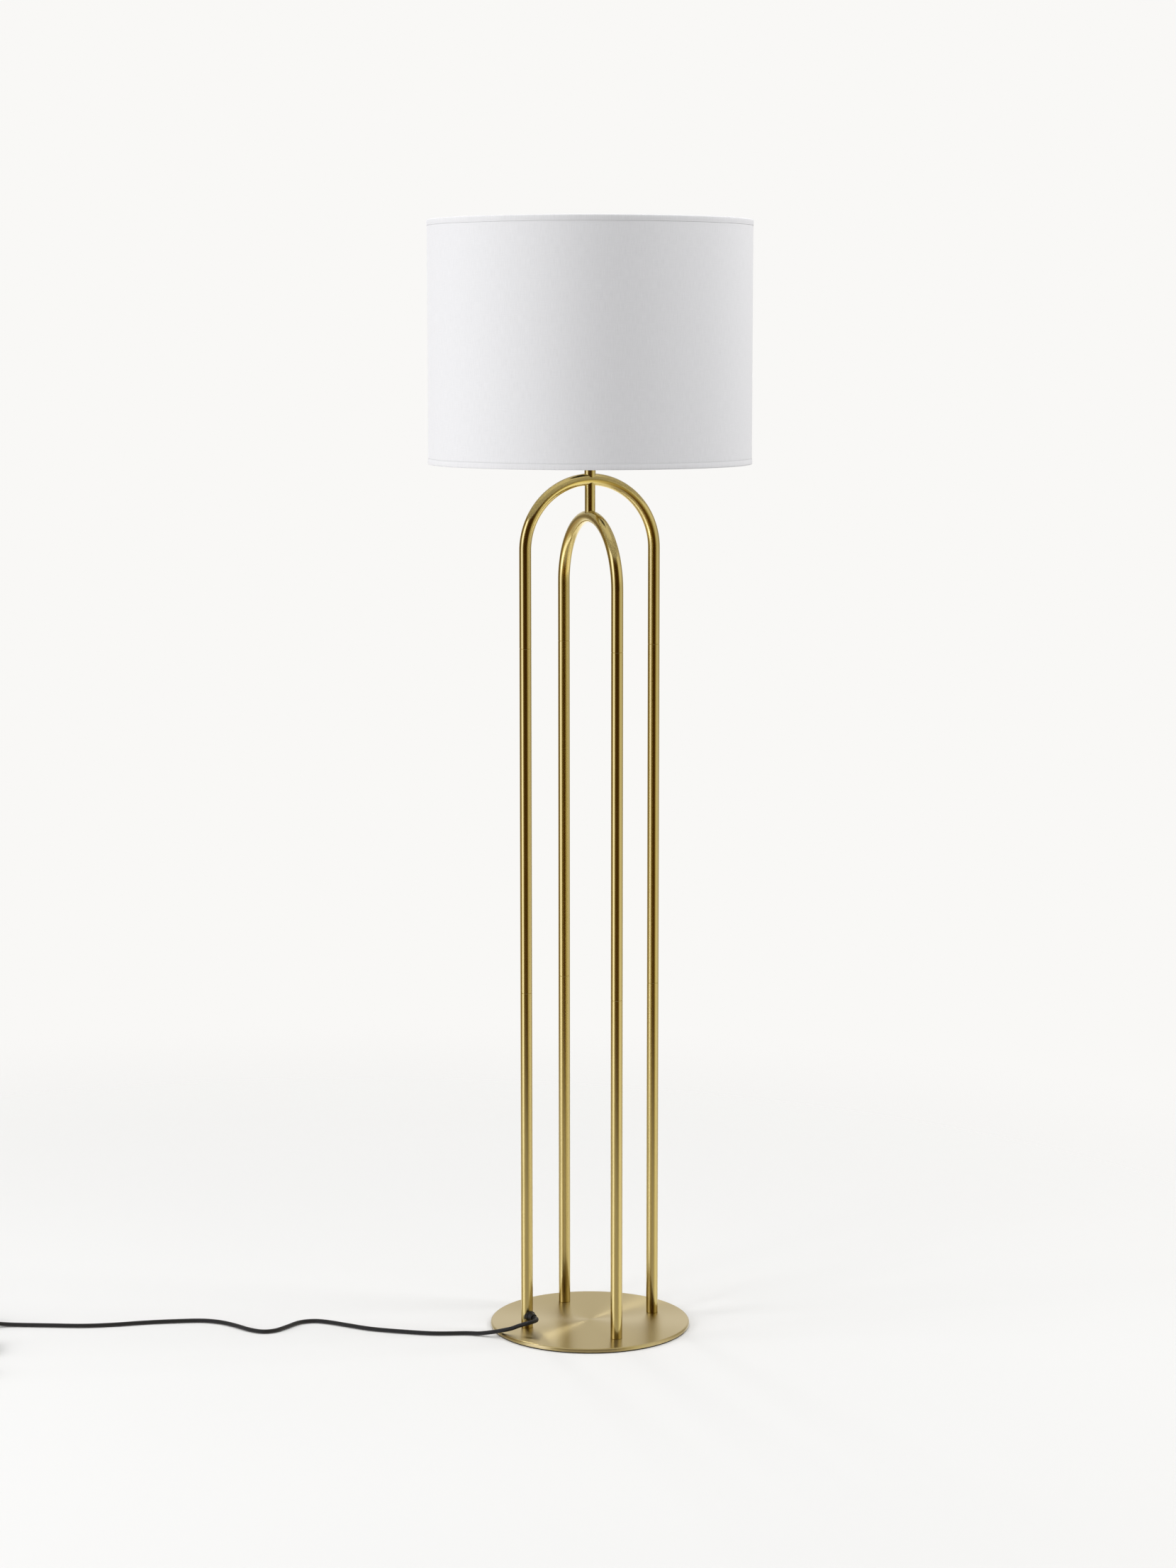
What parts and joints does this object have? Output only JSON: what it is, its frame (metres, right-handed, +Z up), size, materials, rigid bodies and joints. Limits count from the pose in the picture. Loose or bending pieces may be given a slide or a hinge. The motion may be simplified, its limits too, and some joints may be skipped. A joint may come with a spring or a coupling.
{
  "type": "floor lamp",
  "caption": "Free-standing floor lamp: crossed hairpin arches of brass tube on a round plate carry a white drum shade, with a foot switch on its lead.",
  "frame": {"origin": "centre of the underside of the base pad, on the floor", "axes": "+Z up along the lamp; +X in the plane of the higher arch, away from the leg that the cord leaves; +Y in the plane of the lower arch, towards the back"},
  "size_m": [1.0884, 0.5566, 1.5],
  "materials": {
    "brass_tube": "satin brushed along the tube, clear lacquer",
    "brass_plate": "fine circular brushing, clear lacquer",
    "pad": "matt foam rubber",
    "steel": "zinc plated",
    "holder_plastic": "moulded thermoplastic, fine texture",
    "ceramic": "matt glazed ceramic",
    "contact_brass": "pressed, bright",
    "bulb_glass": "opal white glass",
    "bulb_metal": "pressed, bright",
    "bulb_black": "black vitrite glass",
    "cloth": "fine plain-weave white cloth",
    "lining": "smooth white laminate",
    "white_wire": "white powder coat",
    "rubber": "smooth black rubber",
    "core_brown": "smooth insulation",
    "core_blue": "smooth insulation",
    "cord_braid": "black woven textile braid",
    "strap": "woven hook-and-loop strap",
    "plug_plastic": "moulded, fine texture",
    "pin_metal": "nickel plated",
    "switch_plastic": "moulded, fine texture",
    "button_plastic": "moulded, satin"
  },
  "bodies": {
    "frame": {"base_plate": "brass_plate", "base_pad": "pad", "base_screws": "steel", "leg_plugs": "steel", "lower_tube_left": "brass_tube", "lower_tube_front": "brass_tube", "lower_tube_right": "brass_tube", "lower_tube_back": "brass_tube", "middle_tube_left": "brass_tube", "middle_tube_front": "brass_tube", "middle_tube_right": "brass_tube", "middle_tube_back": "brass_tube", "joint_sockets": "steel", "joint_studs": "steel", "outer_arch": "brass_tube", "inner_arch": "brass_tube", "crown_post": "brass_tube", "neck_tube": "brass_tube", "neck_bush": "steel", "neck_nipple": "steel", "neck_nut": "steel", "holder_cap": "holder_plastic", "holder_skirt": "holder_plastic", "holder_core": "ceramic", "holder_shell": "contact_brass", "holder_contact": "contact_brass", "holder_screws": "steel", "lower_shade_nut": "holder_plastic", "upper_shade_nut": "holder_plastic", "bulb_globe": "bulb_glass", "bulb_cap": "bulb_metal", "bulb_insulator": "bulb_black", "bulb_tip": "steel", "cord_grip": "rubber", "core_live": "core_brown", "core_neutral": "core_blue", "lamp_lead": "cord_braid", "switch_lead": "cord_braid", "cord_coil": "cord_braid", "cord_tie": "strap", "plug_lead": "cord_braid", "plug_body": "plug_plastic", "plug_pins": "pin_metal", "plug_sleeve": "rubber", "switch_base": "switch_plastic", "switch_cover": "switch_plastic", "switch_spring": "steel", "switch_block": "ceramic", "switch_contacts": "contact_brass", "switch_screws": "steel", "switch_sleeves": "rubber"},
    "shade": {"shade_cloth": "cloth", "shade_lining": "lining", "top_ring": "white_wire", "bottom_ring": "white_wire", "shade_fitter": "white_wire", "top_hem": "cloth", "bottom_hem": "cloth"},
    "button": {"switch_button": "button_plastic"}
  },
  "joints": [
    {"name": "shade_turn", "type": "hinge", "parent": "frame", "child": "shade", "pos_m": [0, 0, 1.232], "axis": [0, 0, 1], "continuous": true},
    {"name": "button_press", "type": "slide", "parent": "frame", "child": "button", "axis": [0, 0, -1], "range_m": [0, 0.003], "stiffness_N_per_m": 600, "deforming": ["switch_spring"]}
  ]
}
